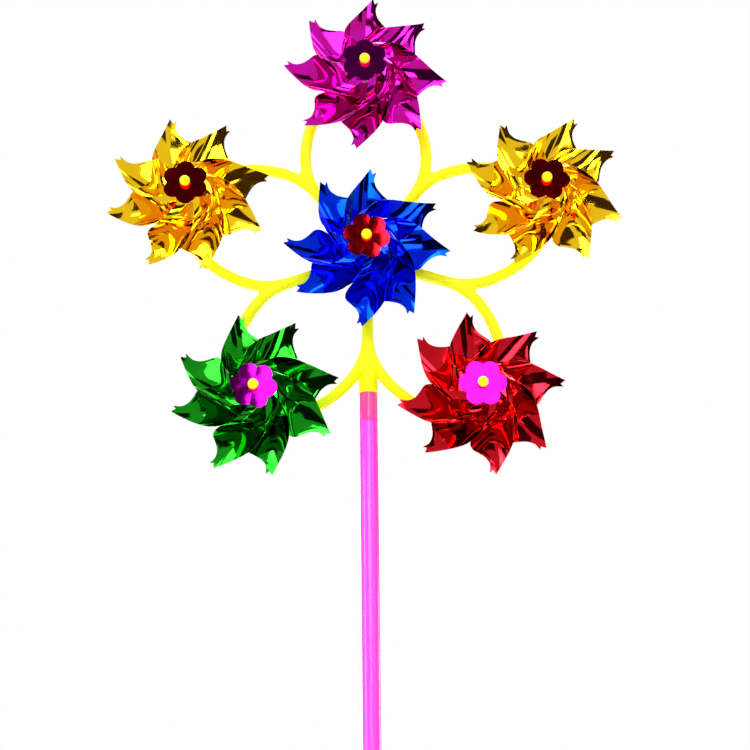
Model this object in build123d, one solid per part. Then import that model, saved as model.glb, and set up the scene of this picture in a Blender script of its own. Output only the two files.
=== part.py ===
from build123d import *
import math
import os

# A hand-held pinwheel: six foil wheels on a flower-shaped frame, on a tube handle.
# Millimetres. The centre of the tube's lower end is the origin, +Z runs up the tube,
# and the wheels face -Y. Angles are counter-clockwise as seen from in front of the wheels.

# ------------------------------------------------------------------ driving dimensions
TUBE_LENGTH = 365.0
TUBE_RADIUS = 4.8
TUBE_WALL = 0.9

STEM_LENGTH = 76.0  # head centre to the tube's upper end
PLUG_STRAIGHT = 8.0
PLUG_TAPER = 6.0
PLUG_TIP_RADIUS = 3.0
COLLAR_LENGTH = 10.0
COLLAR_RADIUS = 5.0
COLLAR_ROUND = 1.5

FRAME_THICKNESS = 6.0
ROD_WIDTH = 6.0
EDGE_ROUND = 2.6
HUB_RADIUS = 10.0
SPOKE_ROOT_WIDTH = 7.6
STEM_FOOT_RADIUS = 4.5
STEM_ROOT_RADIUS = 2.8
WEB_OVERLAP = 4.0  # how far the stem reaches up into the web between the two lowest rods
CROTCH_ROUND = 1.6
HUB_ROUND = 1.5
CORNER_REACH = 1.0  # a corner is rounded if it lies this near to the radius named for it

PETAL_ANGLES = {"top": 90, "upper_left": 162, "upper_right": 18, "lower_left": -126, "lower_right": -54}
PETAL_PITCH = 72
PETAL_REACH = 100.0  # head centre to the middle of the rod at a petal's far end
PETAL_HALF_WIDTH = 32.8
PETAL_ROOT_ARC = 37.5  # the arc by which the rod leaves its spoke
FLANK_TURN = 30  # how far the long flank arc turns before the end arc takes over

PIN_RADIUS = 1.7
PIN_COLLAR_RADIUS = 3.4
PIN_COLLAR_HEIGHT = 5.9
PIN_COLLAR_CHAMFER = 0.5
PIN_LENGTH = 36.6  # front of the frame to the tip of the ball
PIN_BALL_RADIUS = 2.75
PIN_SEAT_DEPTH = 5.0
BOSS_RADIUS = 5.2

RUNNING_GAP = 0.08  # radial, between a pin and the hub tube that turns on it
AXIAL_GAP = 0.3
HUB_TUBE_SHY = 0.1  # how far the hub tube stops short of the flower washer
HUB_TUBE_RADIUS = 2.6
HUB_FLANGE_RADIUS = 4.5
HUB_FLANGE_THICKNESS = 1.0

FOIL = 0.2
WHEEL_RADIUS = 45.0
SHEET_STEP = 0.8  # how far the front sheet lies ahead of the rear one
CURL_HEIGHT = 22.0
CREST_LINE = 1.5  # how far beside the vane's own radius the curl begins
VANE_TILT = 8.0
TILT_RADIUS = 7.0
HUB_DISC_RADIUS = 9.0
# A vane's flat rear layer, as (along the vane, across it) from the hub's axis.
SLIT_END = (10.6, 0.9)  # where the cut beside the vane ends
SLIT_MOUTH = (19.6, -6.2)  # where the cut opens and the leaf begins to swell
LEAF_EDGE = [(26.0, -8.7), (33.0, -6.4), (39.5, -2.6)]
TIP_CORNER = (43.6, -1.5)
TIP_NOTCH = (42.6, 0.2)
CURL_TIP_SHY = 2.0  # how far the curl's rim starts short of the vane's tip
CURL_TIP_RUN = 10.0  # and how far from the tip it has risen by CURL_TIP_RISE
CURL_TIP_RISE = 1.4
TRIM_MARGIN = 1.0
FLAP_NEAR = 0.8  # the flap's two sides, along the vane from the hub's axis
FLAP_FAR = 4.8
FLAP_OVERLAP = 2.0  # how far the flap runs past the axis
FLAP_RING_RADIUS = 4.2
FLAP_RING_THICKNESS = 1.4
VANES_PER_SHEET = 4

FLOWER_LOBES = 6
FLOWER_RADIUS = 12.2
LOBE_RADIUS = 4.9
FLOWER_THICKNESS = 0.4
FLOWER_HOLE_RADIUS = 2.05

# The angles of one vane of each wheel's rear and front sheet.
WHEEL_PHASES = {
    "top": (41, 82),
    "upper_left": (61, 102),
    "upper_right": (29, 66),
    "lower_left": (60, 100),
    "lower_right": (7, 46),
    "centre": (85, 122),
}
# The angle of one lobe of each wheel's flower.
FLOWER_PHASES = {
    "top": 30,
    "upper_left": 30,
    "upper_right": 55,
    "lower_left": 50,
    "lower_right": 0,
    "centre": 48,
}

# ------------------------------------------------------------------ derived dimensions
HEAD_HEIGHT = TUBE_LENGTH + STEM_LENGTH
HALF_PITCH = PETAL_PITCH / 2
HALF_ROD = ROD_WIDTH / 2
BORE_RADIUS = TUBE_RADIUS - TUBE_WALL

SPOKE_REACH = (
    PETAL_HALF_WIDTH - PETAL_ROOT_ARC * (1 - math.cos(math.radians(HALF_PITCH)))
) / math.sin(math.radians(HALF_PITCH))
# Two neighbouring rods leave one spoke together and part where each has moved half its width aside.
CROTCH_REACH = SPOKE_REACH + math.sqrt(2 * PETAL_ROOT_ARC * HALF_ROD)
WIDEST_AT = SPOKE_REACH * math.cos(math.radians(HALF_PITCH)) + PETAL_ROOT_ARC * math.sin(
    math.radians(HALF_PITCH)
)
# Two tangent arcs run from the widest point to the far end: the first turns by FLANK_TURN
# and the second by the rest of a quarter turn. Their radii follow from both distances.
TURN_SIN = math.sin(math.radians(FLANK_TURN))
TURN_COS = math.cos(math.radians(FLANK_TURN))
END_RUN = PETAL_REACH - WIDEST_AT
END_ARC = (PETAL_HALF_WIDTH * TURN_SIN - END_RUN * (1 - TURN_COS)) / (
    TURN_COS * TURN_SIN - (1 - TURN_SIN) * (1 - TURN_COS)
)
FLANK_ARC = (END_RUN - END_ARC * (1 - TURN_SIN)) / TURN_SIN

HUB_TUBE_BACK = PIN_COLLAR_HEIGHT + AXIAL_GAP
REAR_SHEET_AT = HUB_TUBE_BACK + HUB_FLANGE_THICKNESS
FRONT_SHEET_AT = REAR_SHEET_AT + SHEET_STEP
REAR_RING_AT = REAR_SHEET_AT + CURL_HEIGHT * math.cos(math.radians(VANE_TILT)) - FLAP_RING_THICKNESS
FRONT_RING_AT = REAR_RING_AT + FLAP_RING_THICKNESS + AXIAL_GAP
FRONT_CURL_HEIGHT = CURL_HEIGHT + FRONT_RING_AT - REAR_RING_AT - SHEET_STEP
FLOWER_AT = FRONT_RING_AT + FLAP_RING_THICKNESS + AXIAL_GAP
HUB_TUBE_FRONT = FLOWER_AT - HUB_TUBE_SHY


def polar(radius, angle):
    """The point at this radius and angle, in degrees."""
    return Vector(radius * math.cos(math.radians(angle)), radius * math.sin(math.radians(angle)))


def facing(x, height, depth=0.0):
    """The plane of the front view at this place: its X is right, its Y is up, its Z is forwards."""
    return Plane(origin=(x, depth, height), x_dir=(1, 0, 0), z_dir=(0, -1, 0))


def wheel_place(name):
    """The front-view plane on the front face of the frame, at a wheel's pin."""
    spot = Vector(0, 0) if name == "centre" else polar(PETAL_REACH, PETAL_ANGLES[name])
    return facing(spot.X, HEAD_HEIGHT + spot.Y, -FRAME_THICKNESS / 2)


# ------------------------------------------------------------------ handle and frame
def handle_tube():
    """The plain open tube that the hand holds."""
    return extrude(Circle(TUBE_RADIUS) - Circle(BORE_RADIUS), TUBE_LENGTH)


def petal_band():
    """One petal's rod as a flat band about local +X, from one spoke round to the next."""
    root = polar(SPOKE_REACH, HALF_PITCH) + polar(PETAL_ROOT_ARC, HALF_PITCH - 90)
    flank = root + Vector(0, PETAL_ROOT_ARC - FLANK_ARC)
    end = Vector(PETAL_REACH - END_ARC, 0)
    arcs = [
        (root, PETAL_ROOT_ARC, 90, HALF_PITCH),
        (flank, FLANK_ARC, 90 - FLANK_TURN, FLANK_TURN),
        (end, END_ARC, 0, 90 - FLANK_TURN),
    ]
    edges = []
    for centre, radius, start, turn in arcs:
        edges.append(CenterArc(centre, radius + HALF_ROD, start, turn))
        edges.append(CenterArc(centre, radius - HALF_ROD, start, turn))
    start_angle = 90 + HALF_PITCH
    edges.append(
        Line(
            root + polar(PETAL_ROOT_ARC - HALF_ROD, start_angle),
            root + polar(PETAL_ROOT_ARC + HALF_ROD, start_angle),
        )
    )
    edges.append(Line((PETAL_REACH - HALF_ROD, 0), (PETAL_REACH + HALF_ROD, 0)))
    half = make_face(edges)
    return half + mirror(half, about=Plane.XZ)


def bar(start, start_width, end, end_width):
    """A straight bar along local +X that tapers from one width to the other."""
    return make_face(
        Polyline(
            (start, -start_width / 2),
            (end, -end_width / 2),
            (end, end_width / 2),
            (start, start_width / 2),
            close=True,
        )
    )


def rounded_where(outline, near, radius):
    """The outline with the corners at this distance from the head centre rounded."""
    corners = [v for v in outline.vertices() if abs(Vector(v.X, v.Y).length - near) < CORNER_REACH]
    return fillet(corners, radius)


def flower_frame():
    """The one-piece frame: hub, spokes, petal loops, pin bosses, stem and the plug in the tube."""
    outline = Circle(HUB_RADIUS)
    for angle in PETAL_ANGLES.values():
        outline += Rot(0, 0, angle) * petal_band()
        outline += Rot(0, 0, angle + HALF_PITCH) * bar(0, SPOKE_ROOT_WIDTH, SPOKE_REACH, ROD_WIDTH)
    outline = rounded_where(outline, HUB_RADIUS, HUB_ROUND)
    outline = rounded_where(outline, CROTCH_REACH, CROTCH_ROUND)
    body = extrude(outline, FRAME_THICKNESS / 2, both=True)
    faces = body.faces().sort_by(Axis.Z)
    rims = faces[0].edges() + faces[-1].edges()
    body = fillet(rims, EDGE_ROUND)
    for centre in [Vector(0, 0)] + [polar(PETAL_REACH, angle) for angle in PETAL_ANGLES.values()]:
        seat = Pos(centre.X, centre.Y, FRAME_THICKNESS / 2 - PIN_SEAT_DEPTH / 2)
        body += Pos(centre) * Cylinder(BOSS_RADIUS, FRAME_THICKNESS)
        body -= seat * Cylinder(PIN_RADIUS, PIN_SEAT_DEPTH)
    frame = facing(0, HEAD_HEIGHT) * body
    stem_run = STEM_LENGTH - CROTCH_REACH + WEB_OVERLAP
    frame += Pos(0, 0, TUBE_LENGTH + stem_run / 2) * Cone(STEM_FOOT_RADIUS, STEM_ROOT_RADIUS, stem_run)
    collar = Pos(0, 0, TUBE_LENGTH) * extrude(Circle(COLLAR_RADIUS), COLLAR_LENGTH)
    frame += fillet(collar.edges().sort_by(Axis.Z)[-1], COLLAR_ROUND)
    plug = Pos(0, 0, TUBE_LENGTH - PLUG_STRAIGHT) * extrude(Circle(BORE_RADIUS), PLUG_STRAIGHT)
    tip = Pos(0, 0, TUBE_LENGTH - PLUG_STRAIGHT - PLUG_TAPER / 2) * Rot(180, 0, 0) * Cone(
        BORE_RADIUS, PLUG_TIP_RADIUS, PLUG_TAPER
    )
    return frame + plug + tip


# ------------------------------------------------------------------ one wheel, in its own plane
def axle_pin():
    """The ball-headed pin: pressed into the frame, with a collar that stands the wheel off it."""
    seat = Pos(0, 0, -PIN_SEAT_DEPTH) * extrude(Circle(PIN_RADIUS), PIN_SEAT_DEPTH)
    collar = extrude(Circle(PIN_COLLAR_RADIUS), PIN_COLLAR_HEIGHT)
    collar = chamfer(collar.edges().sort_by(Axis.Z)[-1], PIN_COLLAR_CHAMFER)
    shaft = extrude(Circle(PIN_RADIUS), PIN_LENGTH - PIN_BALL_RADIUS)
    ball = Pos(0, 0, PIN_LENGTH - PIN_BALL_RADIUS) * Sphere(PIN_BALL_RADIUS)
    return seat + collar + shaft + ball


def hub_tube():
    """The flanged tube that carries both foil sheets and turns on the pin."""
    length = HUB_TUBE_FRONT - HUB_TUBE_BACK
    tube = Pos(0, 0, HUB_TUBE_BACK) * extrude(Circle(HUB_TUBE_RADIUS), length)
    tube += Pos(0, 0, HUB_TUBE_BACK) * extrude(Circle(HUB_FLANGE_RADIUS), HUB_FLANGE_THICKNESS)
    return tube - Pos(0, 0, HUB_TUBE_BACK) * extrude(Circle(PIN_RADIUS + RUNNING_GAP), length)


def vane_leaf():
    """The flat outline of a vane's rear layer: S-shaped cut edge, fish-tail tip, straight crest line."""
    cut_edge = Spline(SLIT_MOUTH, *LEAF_EDGE, TIP_CORNER, tangents=[(1, -0.8), (1, 0.1)])
    rim = Polyline(
        TIP_CORNER,
        TIP_NOTCH,
        (WHEEL_RADIUS, CREST_LINE),
        (TILT_RADIUS, CREST_LINE),
        SLIT_END,
        SLIT_MOUTH,
    )
    return make_face([*cut_edge.edges(), *rim.edges()])


def vane_curl(height):
    """The half-round crest by which a vane turns over forwards, trimmed towards its tip and root."""
    radius = height / 2
    shell = Circle(radius) - Circle(radius - FOIL)
    shell -= Pos(-radius, 0) * Rectangle(2 * radius, 2 * radius)
    along = Plane(origin=(0, CREST_LINE, radius), x_dir=(0, 1, 0), z_dir=(1, 0, 0))
    tube = along * extrude(shell, WHEEL_RADIUS)
    side = Plane(origin=(0, 0, 0), x_dir=(1, 0, 0), z_dir=(0, -1, 0))
    trim = side * make_face(
        Polyline(
            (HUB_DISC_RADIUS, -TRIM_MARGIN),
            (WHEEL_RADIUS - CURL_TIP_SHY, -TRIM_MARGIN),
            (WHEEL_RADIUS - CURL_TIP_SHY, FOIL),
            (WHEEL_RADIUS - CURL_TIP_RUN, CURL_TIP_RISE),
            (FLAP_FAR, height + TRIM_MARGIN),
            (FLAP_NEAR, height + TRIM_MARGIN),
            close=True,
        )
    )
    return tube & extrude(trim, 2 * height, both=True)


def vane_flap(height):
    """The corner of a vane that is pulled back to the hub, in front of everything else."""
    flap = make_face(
        Polyline(
            (FLAP_NEAR, CREST_LINE),
            (FLAP_FAR, CREST_LINE),
            (FLAP_FAR, -FLAP_OVERLAP),
            (FLAP_NEAR, -FLAP_OVERLAP),
            close=True,
        )
    )
    return Pos(0, 0, height - FOIL) * extrude(flap, FOIL)


def foil_sheet(phase, height, sheet_at, ring_at):
    """One four-vane foil: its hub disc, its curled vanes, and the flap corners stacked on the hub."""
    leaf = extrude(vane_leaf(), FOIL)
    vane = leaf + vane_curl(height) + vane_flap(height)
    tilt = Pos(TILT_RADIUS, 0, 0) * Rot(0, -VANE_TILT, 0) * Pos(-TILT_RADIUS, 0, 0)
    sheet = Pos(0, 0, sheet_at) * extrude(Circle(HUB_DISC_RADIUS), FOIL)
    for turn in range(VANES_PER_SHEET):
        angle = phase + turn * 360 / VANES_PER_SHEET
        sheet += Rot(0, 0, angle) * Pos(0, 0, sheet_at) * tilt * vane
    sheet += Pos(0, 0, ring_at) * extrude(Circle(FLAP_RING_RADIUS), FLAP_RING_THICKNESS)
    return sheet - extrude(Circle(HUB_TUBE_RADIUS), 2 * PIN_LENGTH)


def flower_washer():
    """The lobed foil flower in front of the hub."""
    lobe_place = FLOWER_RADIUS - LOBE_RADIUS
    flower = Circle(lobe_place)
    for lobe in range(FLOWER_LOBES):
        flower += Pos(polar(lobe_place, lobe * 360 / FLOWER_LOBES)) * Circle(LOBE_RADIUS)
    flower -= Circle(FLOWER_HOLE_RADIUS)
    return Pos(0, 0, FLOWER_AT) * extrude(flower, FLOWER_THICKNESS)


def wheel_pieces(name):
    """Every piece of one wheel, with its pin, by node name and in the row's place."""
    rear_phase, front_phase = WHEEL_PHASES[name]
    place = wheel_place(name)
    pieces = {
        "axle_pin": axle_pin(),
        "hub_tube": hub_tube(),
        "rear_foil": foil_sheet(rear_phase, CURL_HEIGHT, REAR_SHEET_AT, REAR_RING_AT),
        "front_foil": foil_sheet(front_phase, FRONT_CURL_HEIGHT, FRONT_SHEET_AT, FRONT_RING_AT),
        "flower_washer": Rot(0, 0, FLOWER_PHASES[name]) * flower_washer(),
    }
    return {f"{name}_{piece}": place * shape for piece, shape in pieces.items()}


# ------------------------------------------------------------------ the assembly
nodes = {"handle_tube": handle_tube(), "flower_frame": flower_frame()}
for wheel in WHEEL_PHASES:
    nodes.update(wheel_pieces(wheel))

os.makedirs("parts", exist_ok=True)
for node, shape in nodes.items():
    export_step(shape, f"parts/{node}.step")
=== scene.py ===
import math
import random

import bpy
from mathutils import Matrix, Vector, noise


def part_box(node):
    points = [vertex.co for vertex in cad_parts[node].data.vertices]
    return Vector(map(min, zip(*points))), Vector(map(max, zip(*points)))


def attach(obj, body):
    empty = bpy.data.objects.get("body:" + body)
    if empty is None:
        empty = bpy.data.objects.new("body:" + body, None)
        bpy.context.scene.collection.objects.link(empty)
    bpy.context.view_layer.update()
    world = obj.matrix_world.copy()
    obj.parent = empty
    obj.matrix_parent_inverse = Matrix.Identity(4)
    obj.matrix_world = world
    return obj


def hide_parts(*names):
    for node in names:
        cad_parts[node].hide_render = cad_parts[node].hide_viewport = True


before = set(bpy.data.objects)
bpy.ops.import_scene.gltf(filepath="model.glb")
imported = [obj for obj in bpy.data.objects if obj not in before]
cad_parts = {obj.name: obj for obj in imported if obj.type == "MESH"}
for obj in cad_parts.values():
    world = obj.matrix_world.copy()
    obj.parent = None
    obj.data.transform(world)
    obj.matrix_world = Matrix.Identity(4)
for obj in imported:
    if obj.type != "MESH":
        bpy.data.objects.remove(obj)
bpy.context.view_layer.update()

# The looks of a six-wheel foil pinwheel, built round its CAD frame. Blender lengths are metres;
# the foil is laid out in millimetres in its own flat pattern, as u along a vane's radius and
# v across it, and s, h are sideways and forwards once it is curled.
MM = 0.001
SHARP_ANGLE = 50  # degrees, from which an edge is shaded as an edge
WELD_DISTANCE = 0.02  # millimetres

# ------------------------------------------------------------------ the foil's flat pattern
WHEEL_RADIUS = 45.0
HUB_DISC_RADIUS = 10.6
HUB_HOLE_RADIUS = 2.7
HUB_RINGS = 4  # rings of faces in the flat disc
VANES_PER_SHEET = 4
CUT_LINE = [  # the S-shaped cut beside a vane, from the slit's end to the tip's near corner
    (10.56, 0.9),
    (14.2, -3.0),
    (19.6, -6.6),
    (25.0, -9.3),
    (28.8, -8.9),
    (31.8, -5.6),
    (35.0, -2.6),
    (39.0, -1.1),
    (43.4, -1.9),
]
TIP_NOTCH = (42.2, -0.1)
TIP_POINT = (45.0, 1.2)
TIP_COLUMNS = 2  # columns taken by the tip's notch, before the long edge begins
ROWS = 26
COLUMNS = 46
RIM_BULGE = 2.4  # how far a vane's long edge is cut in behind a straight line
FOIL_THICKNESS = 0.12

# ------------------------------------------------------------------ how a vane is curled
CREST_LINE = 0.6  # how far beside the vane's own radius the curl begins
CURL_EASE = 0.4  # how much more the curl bends at its middle than at its two ends
PROFILE_STEPS = 90
VANE_TILT = 8.0  # how steeply a vane rises from the hub disc, in degrees
TILT_RADIUS = 7.0  # the rise turns about a line across the vane this far from the pin
LIFT_END_RADIUS = 18.0  # a vane is flat at the hub disc and fully curled from here out
TIP_BEND = 11.0  # how far a vane's last third bends forwards, in degrees
BEND_START = 27.0
TWIST_START = 16.0
FLAP_HOLE = 6.2  # how far along the vane its flap's hole is, which the curl brings to the pin
FLAP_START = 0.3  # the share of the curl from which the flap is drawn in to the pin
FLAP_GAP = 0.33  # between one flap and the next in the stack at the pin
FLAP_SHY = 0.1  # how far the front flap stops behind the front of the CAD foil

# ------------------------------------------------------------------ how the vanes differ
# A single spread is plus or minus, and a pair is from and to.
SEED = 7
TILT_SPREAD = 1.5  # degrees
TWIST_SPREAD = 5.0  # degrees
CREST_SPREAD = (-0.6, 1.0)
SIDE_BULGE = (-1.2, 0.4)  # how far the curl's middle stands out sideways
BEND_SHARE = (0.5, 1.3)  # of TIP_BEND
LEAF_WAVE = 0.07  # the height of the film's soft waves
WAVE_SIZE = 11.0  # how far such a wave reaches over the film
SWAY = 0.4  # the film's waves sideways
SWAY_SIZE = 14.0
CREASES_PER_RADIAN = 3.5  # creases fan out from the hub
CREASE_LENGTH = 30.0
CREASE_DEPTH = 0.14
FLAP_CREASE_DEPTH = 0.26  # how much deeper they are at the flap
FLAP_CREASE_START = 0.35
CREASE_MIDDLE = 0.25  # the noise level at which a crease neither rises nor dips
CREASE_FADE = (22.0, 34.0)  # they fade out between these distances along the vane
CREASE_SLICE = 3  # creases and sway read other slices of the noise than the waves, which read 0
SWAY_SLICE = 5

# The angles of one vane of each wheel's rear and front sheet, as in the CAD model.
WHEEL_PHASES = {
    "top": (41, 82),
    "upper_left": (61, 102),
    "upper_right": (29, 66),
    "lower_left": (60, 100),
    "lower_right": (7, 46),
    "centre": (85, 122),
}
FLOWER_PHASES = {
    "top": 30,
    "upper_left": 30,
    "upper_right": 55,
    "lower_left": 50,
    "lower_right": 0,
    "centre": 48,
}
FOIL_SLOTS = {
    "top": "magenta_foil",
    "upper_left": "gold_foil",
    "upper_right": "gold_foil",
    "lower_left": "green_foil",
    "lower_right": "red_foil",
    "centre": "blue_foil",
}
FLOWER_SLOTS = {
    "top": "magenta_flower",
    "upper_left": "red_flower",
    "upper_right": "red_flower",
    "lower_left": "magenta_flower",
    "lower_right": "magenta_flower",
    "centre": "red_flower",
}


# ------------------------------------------------------------------ small helpers
def smooth_path(points, steps):
    """Evenly counted points along a smooth curve through the given ones."""
    stops = [Vector(p) for p in points]
    stops = [2 * stops[0] - stops[1], *stops, 2 * stops[-1] - stops[-2]]
    spans = len(stops) - 3
    path = []
    for i in range(steps + 1):
        place = min(i / steps * spans, spans - 1e-9)
        k = int(place)
        t = place - k
        a, b, c, d = stops[k : k + 4]
        slope = c - a
        bend = 2 * a - 5 * b + 4 * c - d
        swing = 3 * b - a - 3 * c + d
        path.append(0.5 * (2 * b + slope * t + bend * t * t + swing * t**3))
    return path


def turned(point, angle):
    """A flat point turned about the hub, in degrees."""
    return Matrix.Rotation(math.radians(angle), 2) @ Vector(point)


def ease(low, high, value):
    """0 up to low, 1 from high on, and smooth between them."""
    t = min(max((value - low) / (high - low), 0.0), 1.0)
    return t * t * (3 - 2 * t)


def mesh_object(name, vertices, faces):
    """A new smooth-shaded mesh object in the scene."""
    mesh = bpy.data.meshes.new(name)
    mesh.from_pydata(vertices, [], faces)
    mesh.validate()
    mesh.polygons.foreach_set("use_smooth", [True] * len(mesh.polygons))
    made = bpy.data.objects.new(name, mesh)
    bpy.context.scene.collection.objects.link(made)
    return made


def thicken(piece, thickness):
    """Welds a sheet's seams and gives it two faces and crisp edges, as plain mesh."""
    weld = piece.modifiers.new("weld", "WELD")
    weld.merge_threshold = WELD_DISTANCE * MM
    shell = piece.modifiers.new("thickness", "SOLIDIFY")
    shell.thickness = thickness
    shell.offset = 0
    graph = bpy.context.evaluated_depsgraph_get()
    solid = bpy.data.meshes.new_from_object(piece.evaluated_get(graph))
    solid.set_sharp_from_angle(angle=math.radians(SHARP_ANGLE))
    piece.modifiers.clear()
    piece.data = solid


def middle(node):
    """The middle of a CAD node's box."""
    low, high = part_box(node)
    return (low + high) / 2


FRAME_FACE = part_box("flower_frame")[0].y  # the frame's front, from which levels are counted forwards


# ------------------------------------------------------------------ foil sheets
def flat_quarter():
    """One vane's flat points: rows run out from the hub disc, columns from its own cut to the next one."""
    own_cut = smooth_path(CUT_LINE, ROWS)
    next_cut = [turned(p, 90) for p in own_cut]
    start_angle = math.degrees(math.atan2(own_cut[0].y, own_cut[0].x))
    hub = [turned((HUB_DISC_RADIUS, 0), start_angle + 90 * i / COLUMNS) for i in range(COLUMNS + 1)]
    rim = [own_cut[-1], Vector(TIP_NOTCH), Vector(TIP_POINT)]
    straight = COLUMNS - TIP_COLUMNS
    for i in range(1, straight + 1):
        share = i / straight
        inwards = Vector((-1, -1)).normalized() * RIM_BULGE * math.sin(math.pi * share)
        rim.append(Vector(TIP_POINT).lerp(next_cut[-1], share) + inwards)
    rows = []
    for j in range(ROWS + 1):
        b = j / ROWS
        row = []
        for i in range(COLUMNS + 1):
            a = i / COLUMNS
            sides = (1 - a) * own_cut[j] + a * next_cut[j]
            ends = (1 - b) * hub[i] + b * rim[i]
            corners = (1 - b) * ((1 - a) * hub[0] + a * hub[-1]) + b * ((1 - a) * rim[0] + a * rim[-1])
            row.append(sides + ends - corners)
        rows.append(row)
    return rows


def curl_profile():
    """(side, height) along a half-turn curl of length 1 that bends most at its middle."""
    profile = [(0.0, 0.0)]
    side = height = 0.0
    for i in range(PROFILE_STEPS):
        t = (i + 0.5) / PROFILE_STEPS
        heading = math.pi * t - CURL_EASE / 2 * math.sin(2 * math.pi * t)
        side += math.cos(heading) / PROFILE_STEPS
        height += math.sin(heading) / PROFILE_STEPS
        profile.append((side, height))
    return profile


PROFILE = curl_profile()


def along_curl(travel):
    """(side, height) after this share of the curl's length."""
    place = min(max(travel, 0.0), 1.0) * PROFILE_STEPS
    k = min(int(place), PROFILE_STEPS - 1)
    t = place - k
    a, b = PROFILE[k], PROFILE[k + 1]
    return a[0] + (b[0] - a[0]) * t, a[1] + (b[1] - a[1]) * t


class Vane:
    """One vane's curl, which brings its flap to the pin at flap_height, with bends of its own."""

    def __init__(self, flap_height, rng):
        self.tilt = math.radians(VANE_TILT + rng.uniform(-TILT_SPREAD, TILT_SPREAD))
        self.twist = math.radians(rng.uniform(-TWIST_SPREAD, TWIST_SPREAD))
        self.crest = CREST_LINE + rng.uniform(*CREST_SPREAD)
        self.seed = Vector((rng.uniform(0, 100), rng.uniform(0, 100), rng.uniform(0, 100)))
        self.bulge = rng.uniform(*SIDE_BULGE)
        self.bend = math.radians(TIP_BEND) * rng.uniform(*BEND_SHARE)
        hole = FLAP_HOLE - TILT_RADIUS
        curl_height = (flap_height - hole * math.sin(self.tilt)) / math.cos(self.tilt)
        self.length = curl_height / PROFILE[-1][1]
        self.flap_shift = hole * math.cos(self.tilt) - curl_height * math.sin(self.tilt) + TILT_RADIUS

    def rolled(self, u, v, travel, lift):
        """(s, h) of a flat point on the curl, with the film's waves and creases."""
        side, height = along_curl(travel)
        s = min(v, self.crest) + self.length * side - self.length * max(travel - 1, 0)
        s += self.bulge * math.sin(math.pi * min(max(travel, 0), 1)) ** 2
        wave = noise.noise(Vector((u, v, 0)) / WAVE_SIZE + self.seed)
        fan = math.atan2(v, u) * CREASES_PER_RADIAN
        crease = abs(noise.noise(Vector((fan, math.hypot(u, v) / CREASE_LENGTH, CREASE_SLICE)) + self.seed))
        depth = CREASE_DEPTH + FLAP_CREASE_DEPTH * ease(FLAP_CREASE_START, 1.0, travel)
        ridge = depth * (CREASE_MIDDLE - crease) * (1 - ease(*CREASE_FADE, u))
        h = self.length * height + lift * (LEAF_WAVE * wave + ridge)
        s += lift * SWAY * noise.noise(Vector((u, v, SWAY_SLICE)) / SWAY_SIZE + self.seed)
        return s, h

    def place(self, u, v):
        """The curled place of a flat point: along the vane, across it and forwards."""
        travel = (v - self.crest) / self.length
        lift = ease(HUB_DISC_RADIUS, LIFT_END_RADIUS, math.hypot(u, v))
        s, h = self.rolled(u, v, travel, lift)
        # the leaf's bend and twist towards its tip
        past = max(u - BEND_START, 0)
        h += past * past * math.tan(self.bend) / (2 * (WHEEL_RADIUS - BEND_START))
        turn = self.twist * ease(TWIST_START, WHEEL_RADIUS, u)
        s, h = s * math.cos(turn) - h * math.sin(turn), s * math.sin(turn) + h * math.cos(turn)
        # the vane's rise from the hub disc, and its flap drawn in to the pin
        lean = self.tilt * lift
        out = TILT_RADIUS + (u - TILT_RADIUS) * math.cos(lean) - h * math.sin(lean)
        up = (u - TILT_RADIUS) * math.sin(lean) + h * math.cos(lean)
        out -= self.flap_shift * ease(FLAP_START, 1.0, travel)
        return Vector((u + (out - u) * lift, v + (s - v) * lift, up * lift))


def add_hub_disc(vertices, faces, rim):
    """The flat disc inside the four slits, from the rim's vertices in to the hole for the hub tube."""
    outer = rim
    for ring in range(1, HUB_RINGS + 1):
        radius = HUB_DISC_RADIUS + (HUB_HOLE_RADIUS - HUB_DISC_RADIUS) * ring / HUB_RINGS
        inner = []
        for index in rim:
            out = vertices[index].xy.normalized() * radius
            inner.append(len(vertices))
            vertices.append(Vector((out.x, out.y, 0)))
        for i in range(len(rim)):
            k = (i + 1) % len(rim)
            faces.append((outer[i], inner[i], inner[k], outer[k]))
        outer = inner


def foil_sheet(wheel, which, phase, sheet_level, flap_levels, rng):
    """One four-vane foil as a single thin mesh, in the wheel's place."""
    quarter = flat_quarter()
    width = COLUMNS + 1
    vertices, faces = [], []
    disc_rim = []
    for turn in range(VANES_PER_SHEET):
        spin = Matrix.Rotation(math.radians(phase + 360 / VANES_PER_SHEET * turn), 3, "Z")
        vane = Vane(flap_levels[turn] - sheet_level, rng)
        first = len(vertices)
        for row in quarter:
            vertices += [spin @ vane.place(u, v) for u, v in row]
        for j in range(ROWS):
            for i in range(COLUMNS):
                a = first + j * width + i
                faces.append((a, a + 1, a + width + 1, a + width))
        disc_rim += [first + i for i in range(COLUMNS)]
    add_hub_disc(vertices, faces, disc_rim)
    place = wheel_place(wheel, sheet_level)
    made = mesh_object(f"{wheel}_{which}_foil_film", [place @ (p * MM) for p in vertices], faces)
    thicken(made, FOIL_THICKNESS * MM)
    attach(made, f"{wheel}_wheel")
    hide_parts(f"{wheel}_{which}_foil")
    return made


def wheel_place(wheel, level):
    """The matrix from a wheel's own axes (X right, Y up, Z forwards) at this level."""
    spot = middle(f"{wheel}_hub_tube")
    axes = Matrix(((1, 0, 0), (0, 0, -1), (0, 1, 0))).to_4x4()
    return Matrix.Translation((spot.x, FRAME_FACE - level * MM, spot.z)) @ axes


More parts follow.
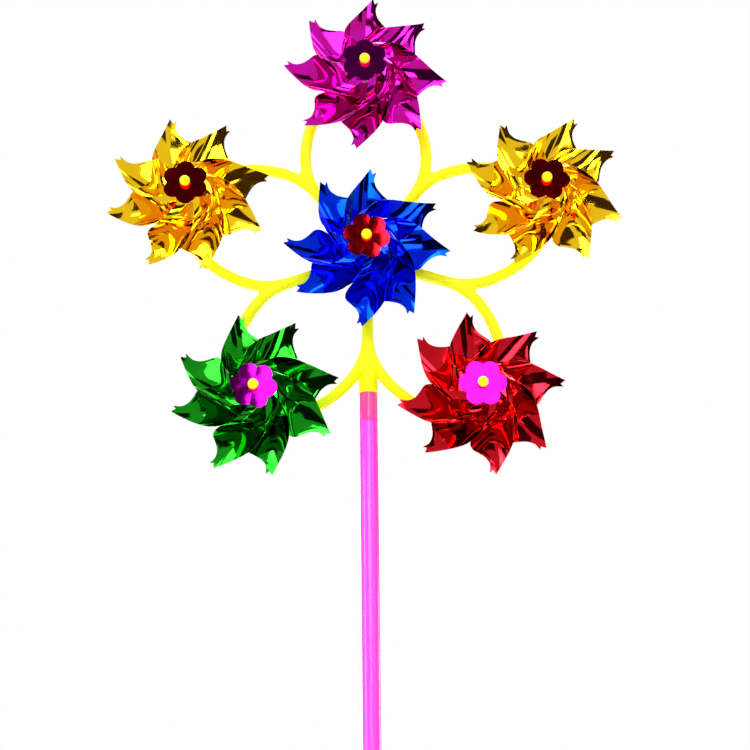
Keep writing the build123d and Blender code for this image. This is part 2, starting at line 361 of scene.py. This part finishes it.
# ------------------------------------------------------------------ flower washers
FLOWER_LOBES = 6
FLOWER_RADIUS = 12.2
LOBE_RADIUS = 4.9
FLOWER_HOLE_RADIUS = 2.05
FLOWER_RINGS = 12
FLOWER_SPOKES = 120
FLOWER_THICKNESS = 0.25
FLOWER_DOME = 0.2  # how far the middle stands in front of the rim
FLOWER_FOLD = 0.05  # how deep the crease between two lobes is
FLOWER_FOLD_SPAN = (3.0, 10.0)  # the crease deepens between these radii
FLOWER_STANDOFF = 0.3  # from the rear of the CAD washer to the rim
FLOWER_LEANS = {  # how each flower leans on its pin, across and up, in degrees
    "top": (0.5, -1.5),
    "upper_left": (-0.5, -3.0),
    "upper_right": (0.5, -3.0),
    "lower_left": (-0.8, 0.5),
    "lower_right": (-2.0, 1.0),
    "centre": (1.6, 4.5),
}


def lobe_reach(angle):
    """How far the flower's outline is from its middle in this direction, in radians."""
    pitch = 2 * math.pi / FLOWER_LOBES
    off = (angle + pitch / 2) % pitch - pitch / 2
    along = FLOWER_RADIUS - LOBE_RADIUS
    return along * math.cos(off) + math.sqrt(LOBE_RADIUS**2 - (along * math.sin(off)) ** 2)


def flower_washer(wheel):
    """The six-lobed foil flower, pressed into a shallow dome with a crease between its lobes."""
    level = (FRAME_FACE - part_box(f"{wheel}_flower_washer")[1].y) / MM
    lean_x, lean_y = (math.tan(math.radians(a)) for a in FLOWER_LEANS[wheel])
    start = math.radians(FLOWER_PHASES[wheel])
    vertices, faces = [], []
    for ring in range(FLOWER_RINGS + 1):
        share = ring / FLOWER_RINGS
        for spoke in range(FLOWER_SPOKES):
            angle = 2 * math.pi * spoke / FLOWER_SPOKES
            reach = lobe_reach(angle)
            radius = FLOWER_HOLE_RADIUS + (reach - FLOWER_HOLE_RADIUS) * share
            fold = abs(math.cos(FLOWER_LOBES / 2 * angle))
            height = FLOWER_DOME * (1 - (radius / FLOWER_RADIUS) ** 2)
            height += FLOWER_FOLD * fold * ease(*FLOWER_FOLD_SPAN, radius)
            x, y = radius * math.cos(angle + start), radius * math.sin(angle + start)
            height += x * lean_x + y * lean_y
            vertices.append(Vector((x, y, height + FLOWER_STANDOFF)))
    for ring in range(FLOWER_RINGS):
        for spoke in range(FLOWER_SPOKES):
            k = (spoke + 1) % FLOWER_SPOKES
            a, b = ring * FLOWER_SPOKES, (ring + 1) * FLOWER_SPOKES
            faces.append((a + spoke, b + spoke, b + k, a + k))
    place = wheel_place(wheel, level)
    made = mesh_object(f"{wheel}_flower_foil", [place @ (p * MM) for p in vertices], faces)
    thicken(made, FLOWER_THICKNESS * MM)
    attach(made, f"{wheel}_wheel")
    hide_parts(f"{wheel}_flower_washer")
    return made


# ------------------------------------------------------------------ materials
class Shader:
    """A material's node tree with short ways to add nodes and link them."""

    def __init__(self, name):
        self.material = bpy.data.materials.new(name)
        self.material.use_nodes = True
        self.tree = self.material.node_tree
        self.surface = self.tree.nodes["Principled BSDF"]
        self.place = self.add("ShaderNodeTexCoord").outputs["Object"]

    def add(self, kind, **values):
        made = self.tree.nodes.new(kind)
        for key, value in values.items():
            setattr(made, key, value)
        return made

    def link(self, output, target):
        self.tree.links.new(output, target)

    def noise(self, scale, detail=3.0, roughness=0.55, stretch=None):
        made = self.add("ShaderNodeTexNoise")
        made.inputs["Scale"].default_value = scale
        made.inputs["Detail"].default_value = detail
        made.inputs["Roughness"].default_value = roughness
        source = self.place
        if stretch:
            mapping = self.add("ShaderNodeMapping")
            mapping.inputs["Scale"].default_value = stretch
            self.link(self.place, mapping.inputs["Vector"])
            source = mapping.outputs["Vector"]
        self.link(source, made.inputs["Vector"])
        return made.outputs["Fac"]

    def remap(self, value, low, high, to_low, to_high):
        made = self.add("ShaderNodeMapRange")
        for key, number in zip(("From Min", "From Max", "To Min", "To Max"), (low, high, to_low, to_high)):
            made.inputs[key].default_value = number
        self.link(value, made.inputs["Value"])
        return made.outputs["Result"]

    def blend(self, value, colour_a, colour_b):
        made = self.add("ShaderNodeMix", data_type="RGBA")
        made.inputs["A"].default_value = (*colour_a, 1)
        made.inputs["B"].default_value = (*colour_b, 1)
        self.link(value, made.inputs["Factor"])
        return made.outputs["Result"]

    def bump(self, heights, strength):
        """Adds bumps in turn: heights is a list of (value, depth in metres)."""
        normal = None
        for value, depth in heights:
            made = self.add("ShaderNodeBump")
            made.inputs["Strength"].default_value = strength
            made.inputs["Distance"].default_value = depth
            self.link(value, made.inputs["Height"])
            if normal:
                self.link(normal, made.inputs["Normal"])
            normal = made.outputs["Normal"]
        self.link(normal, self.surface.inputs["Normal"])


def foil_material(name, tint, deep):
    """Metallised film: a tinted, slightly mottled mirror with scuffs, a soft crinkle and a drawn grain."""
    shader = Shader(name)
    surface = shader.surface
    surface.inputs["Metallic"].default_value = 1.0
    mottle = shader.noise(scale=55, detail=2)
    tone = shader.remap(mottle, 0.35, 0.65, 0, 1)
    shader.link(shader.blend(tone, tint, deep), surface.inputs["Base Color"])
    wear = shader.noise(scale=240, detail=2, roughness=0.5)
    scuff = shader.remap(wear, 0.4, 0.7, 0.05, 0.08)
    shader.link(scuff, surface.inputs["Roughness"])
    crinkle = shader.noise(scale=130, detail=1, roughness=0.4)
    grain = shader.noise(scale=1400, detail=2, roughness=0.5, stretch=(1, 1, 0.2))
    shader.bump([(crinkle, 0.022 * MM), (grain, 0.001 * MM)], strength=0.6)
    return shader.material


def plastic_material(name, colour, shade, roughness, painted_glow=0.0, gloss=0.5):
    """Moulded plastic: faint colour flow, soft unevenness from the mould and a fine grain; its glow is a
    painted glow in its own colour that lightens its shade.
    """
    shader = Shader(name)
    surface = shader.surface
    flow = shader.remap(shader.noise(scale=45, detail=4), 0.35, 0.7, 0, 1)
    shader.link(shader.blend(flow, colour, shade), surface.inputs["Base Color"])
    wear = shader.noise(scale=260, detail=3)
    scuff = shader.remap(wear, 0.3, 0.7, roughness - 0.06, roughness + 0.08)
    shader.link(scuff, surface.inputs["Roughness"])
    unevenness = shader.noise(scale=90, detail=2)
    grain = shader.noise(scale=1500, detail=2)
    shader.bump([(unevenness, 0.3 * MM), (grain, 0.01 * MM)], strength=0.5)
    surface.inputs["IOR"].default_value = 1.45
    surface.inputs["Specular IOR Level"].default_value = gloss
    # Emission in the plastic's own colour: a painted glow that lightens its shaded parts.
    surface.inputs["Emission Color"].default_value = (*colour, 1)
    surface.inputs["Emission Strength"].default_value = painted_glow
    return shader.material


def tube_material():
    """Extruded translucent tube: clear pink with lines drawn along its length, and a painted pink glow that
    lightens its shade.
    """
    shader = Shader("tube_plastic_look")
    surface = shader.surface
    lines = shader.noise(scale=420, detail=3, roughness=0.5, stretch=(1, 1, 0.02))
    tone = shader.remap(lines, 0.35, 0.7, 0, 1)
    shader.link(shader.blend(tone, (1.0, 0.15, 0.7), (0.94, 0.12, 0.64)), surface.inputs["Base Color"])
    surface.inputs["Transmission Weight"].default_value = 0.66
    # A painted glow: pink emission that lightens the tube where transmission leaves it dark.
    surface.inputs["Emission Color"].default_value = (1.0, 0.06, 0.7, 1)
    surface.inputs["Emission Strength"].default_value = 0.1
    surface.inputs["IOR"].default_value = 1.45
    shader.link(shader.remap(lines, 0.3, 0.7, 0.08, 0.18), surface.inputs["Roughness"])
    shader.bump([(lines, 0.02 * MM)], strength=0.6)
    return shader.material


FOIL_LOOKS = {
    "magenta_foil": ((0.68, 0.008, 0.5), (0.6, 0.006, 0.26)),
    "gold_foil": ((1.0, 0.65, 0.012), (0.97, 0.58, 0.008)),
    "green_foil": ((0.011, 0.32, 0.011), (0.008, 0.25, 0.008)),
    "red_foil": ((0.68, 0.009, 0.019), (0.54, 0.007, 0.014)),
    "blue_foil": ((0.001, 0.036, 0.8), (0.001, 0.014, 0.69)),
    "magenta_flower": ((1.0, 0.003, 1.0), (0.95, 0.002, 0.9)),
    "red_flower": ((1.0, 0.007, 0.016), (0.9, 0.004, 0.01)),
}

# ------------------------------------------------------------------ the pieces
looks = {name: foil_material(f"{name}_look", *tones) for name, tones in FOIL_LOOKS.items()}
rng = random.Random(SEED)

for wheel, (rear_phase, front_phase) in WHEEL_PHASES.items():
    for which, phase in (("rear", rear_phase), ("front", front_phase)):
        low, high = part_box(f"{wheel}_{which}_foil")
        sheet_level = (FRAME_FACE - high.y) / MM
        pin_level = (FRAME_FACE - low.y) / MM
        last = VANES_PER_SHEET - 1
        flap_levels = [pin_level - FLAP_SHY - FLAP_GAP * (last - k) for k in range(VANES_PER_SHEET)]
        foil = foil_sheet(wheel, which, phase, sheet_level, flap_levels, rng)
        foil.data.materials.append(looks[FOIL_SLOTS[wheel]])
    flower = flower_washer(wheel)
    flower.data.materials.append(looks[FLOWER_SLOTS[wheel]])

# The yellow frame and pins get a painted glow, emission that lightens their shade.
yellow = plastic_material(
    "frame_plastic_look", (0.88, 0.93, 0.002), (0.86, 0.87, 0.0), roughness=0.3, painted_glow=0.08, gloss=0.25
)
white = plastic_material("hub_plastic_look", (0.9, 0.9, 0.88), (0.82, 0.82, 0.8), roughness=0.35)
pink = tube_material()
for node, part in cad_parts.items():
    if node == "handle_tube":
        finish = pink
    elif node.endswith("_hub_tube"):
        finish = white
    elif node == "flower_frame" or node.endswith("_axle_pin"):
        finish = yellow
    else:
        continue
    for slot in part.material_slots:
        slot.material = finish


# ------------------------------------------------------------------ studio
ROOM_LEVELS = {"dark": 0.04, "plain": 0.8, "bright": 9.0}
ROOM_SHADE = (1.0, 0.55, 0.75)  # the colour of the dark panels
ROOM_CELLS = 2.3  # the rest of the room is a patchwork of cells of about this many to the radius
DARK_CELLS_BELOW = 0.25  # of a cell's own random number, from 0 to 1
BRIGHT_CELLS_ABOVE = 0.8
# Panels of the room that the foil mirrors, as seen from the wheels: azimuth and elevation in degrees,
# from and to, with azimuth 0 straight ahead of the wheels and positive to the right. Later ones win.
ROOM_PANELS = [
    ((-62, 62), (-44, 64), "plain"),
    ((-33, -15), (-12, 22), "dark"),
    ((-15, -8), (2, 15), "bright"),
    ((-16, -3), (-42, 2), "dark"),
    ((-3, 7), (-24, 1), "bright"),
    ((9, 22), (-40, -4), "dark"),
    ((-44, -31), (18, 31), "dark"),
    ((-30, -20), (30, 38), "bright"),
    ((-28, -14), (42, 54), "dark"),
    ((-4, 10), (42, 49), "bright"),
    ((37, 48), (20, 38), "bright"),
    ((20, 34), (34, 50), "dark"),
    ((26, 44), (-16, 6), "dark"),
    ((-10, 13), (22, 33), "dark"),
    ((-8, -1), (3, 22), "dark"),
    ((-1, 12), (3, 8), "dark"),
    ((-1, 12), (8, 22), "bright"),
]


def studio_world():
    """Plain white to the eye and for soft light; mirrors see a room of bright and dark panels."""
    world = bpy.data.worlds.new("studio")
    bpy.context.scene.world = world
    world.use_nodes = True
    tree = world.node_tree
    tree.nodes.clear()

    def add(kind, *inputs, **values):
        made = tree.nodes.new(kind)
        for key, value in values.items():
            setattr(made, key, value)
        for socket, value in zip(made.inputs, inputs):
            if isinstance(value, bpy.types.NodeSocket):
                tree.links.new(value, socket)
            elif value is not None:
                socket.default_value = value
        return made.outputs[0]

    def maths(operation, *inputs):
        return add("ShaderNodeMath", *inputs, operation=operation)

    def inside(value, span):
        off = maths("ABSOLUTE", maths("SUBTRACT", value, sum(span) / 2))
        return maths("LESS_THAN", off, (span[1] - span[0]) / 2)

    towards = tree.nodes.new("ShaderNodeTexCoord").outputs["Generated"]
    split = tree.nodes.new("ShaderNodeSeparateXYZ")
    tree.links.new(towards, split.inputs[0])
    x, y, z = split.outputs
    azimuth = maths("DEGREES", maths("ARCTAN2", x, maths("MULTIPLY", y, -1.0)))
    elevation = maths("DEGREES", maths("ARCSINE", z))

    cells = tree.nodes.new("ShaderNodeTexVoronoi")
    cells.inputs["Scale"].default_value = ROOM_CELLS
    tree.links.new(towards, cells.inputs["Vector"])
    pick = tree.nodes.new("ShaderNodeSeparateColor")
    tree.links.new(cells.outputs["Color"], pick.inputs[0])
    plain, dark, bright = (ROOM_LEVELS[k] for k in ("plain", "dark", "bright"))
    is_dark = maths("LESS_THAN", pick.outputs[0], DARK_CELLS_BELOW)
    is_bright = maths("GREATER_THAN", pick.outputs[0], BRIGHT_CELLS_ABOVE)
    level = maths("ADD", plain, maths("MULTIPLY", is_dark, dark - plain))
    level = maths("ADD", level, maths("MULTIPLY", is_bright, bright - plain))
    for azimuths, elevations, name in ROOM_PANELS:
        here = maths("MULTIPLY", inside(azimuth, azimuths), inside(elevation, elevations))
        change = maths("SUBTRACT", ROOM_LEVELS[name], level)
        level = maths("ADD", level, maths("MULTIPLY", here, change))

    path = tree.nodes.new("ShaderNodeLightPath").outputs
    soft_light = add("ShaderNodeBackground", (1, 1, 1, 1), 1.0)
    is_shade = maths("LESS_THAN", level, (dark + plain) / 2)
    tint = tree.nodes.new("ShaderNodeMix")
    tint.data_type = "RGBA"
    tint.inputs["A"].default_value = (1, 1, 1, 1)
    tint.inputs["B"].default_value = (*ROOM_SHADE, 1)
    tree.links.new(is_shade, tint.inputs["Factor"])
    room = add("ShaderNodeBackground", tint.outputs["Result"], level)
    world_light = add("ShaderNodeMixShader", path["Is Glossy Ray"], soft_light, room)
    output = tree.nodes.new("ShaderNodeOutputWorld")
    tree.links.new(world_light, output.inputs["Surface"])


def area_light(name, place, aim, size, power):
    """A round soft light that faces aim."""
    light = bpy.data.lights.new(name, "AREA")
    light.shape = "DISK"
    light.size = size
    light.energy = power
    made = bpy.data.objects.new(name, light)
    bpy.context.scene.collection.objects.link(made)
    made.location = place
    made.rotation_euler = (Vector(aim) - Vector(place)).to_track_quat("-Z", "Y").to_euler()


FLOOR_REACH = 3.0
FLOOR_DROP = 0.001  # below the end of the tube


def studio_floor():
    """A plain pale floor. The foil doesn't mirror it, so that it mirrors the whole room instead."""
    corners = [(x * FLOOR_REACH, y * FLOOR_REACH, 0) for x, y in ((-1, -1), (1, -1), (1, 1), (-1, 1))]
    floor = mesh_object("floor", corners, [(0, 1, 2, 3)])
    floor.location.z = -FLOOR_DROP
    floor.visible_glossy = False
    look = Shader("floor_look")
    tone = look.blend(look.noise(scale=3, detail=4), (0.86, 0.86, 0.86), (0.9, 0.9, 0.9))
    look.link(tone, look.surface.inputs["Base Color"])
    look.surface.inputs["Roughness"].default_value = 0.8
    floor.data.materials.append(look.material)


studio_world()
area_light("key", place=(-0.5, -0.9, 1.3), aim=middle("centre_hub_tube"), size=0.6, power=6)
studio_floor()

# ------------------------------------------------------------------ camera
# In front of the tube's lower end, looking up at the head. Angles are in degrees.
CAMERA_PLACE = Vector((-0.00075, -1.1, 0.0385))
CAMERA_TILT = 16.0
CAMERA_YAW = 0.22
CAMERA_ROLL = -0.65
CAMERA_LENS = 104.4  # millimetres, on a sensor CAMERA_SENSOR wide
CAMERA_SENSOR = 36.0
CAMERA_SHIFT = 0.052
CAMERA_NEAR = 0.05

camera = bpy.data.objects.new("camera", bpy.data.cameras.new("camera"))
bpy.context.scene.collection.objects.link(camera)
camera.data.lens = CAMERA_LENS
camera.data.sensor_width = CAMERA_SENSOR
camera.data.shift_y = CAMERA_SHIFT
camera.data.clip_start = CAMERA_NEAR
turn = Matrix.Rotation(math.radians(-CAMERA_YAW), 4, "Z")
pitch = Matrix.Rotation(math.radians(90 + CAMERA_TILT), 4, "X")
roll = Matrix.Rotation(math.radians(CAMERA_ROLL), 4, "Z")
camera.matrix_world = Matrix.Translation(CAMERA_PLACE) @ turn @ pitch @ roll
bpy.context.scene.camera = camera
bpy.context.scene.view_settings.view_transform = "Standard"
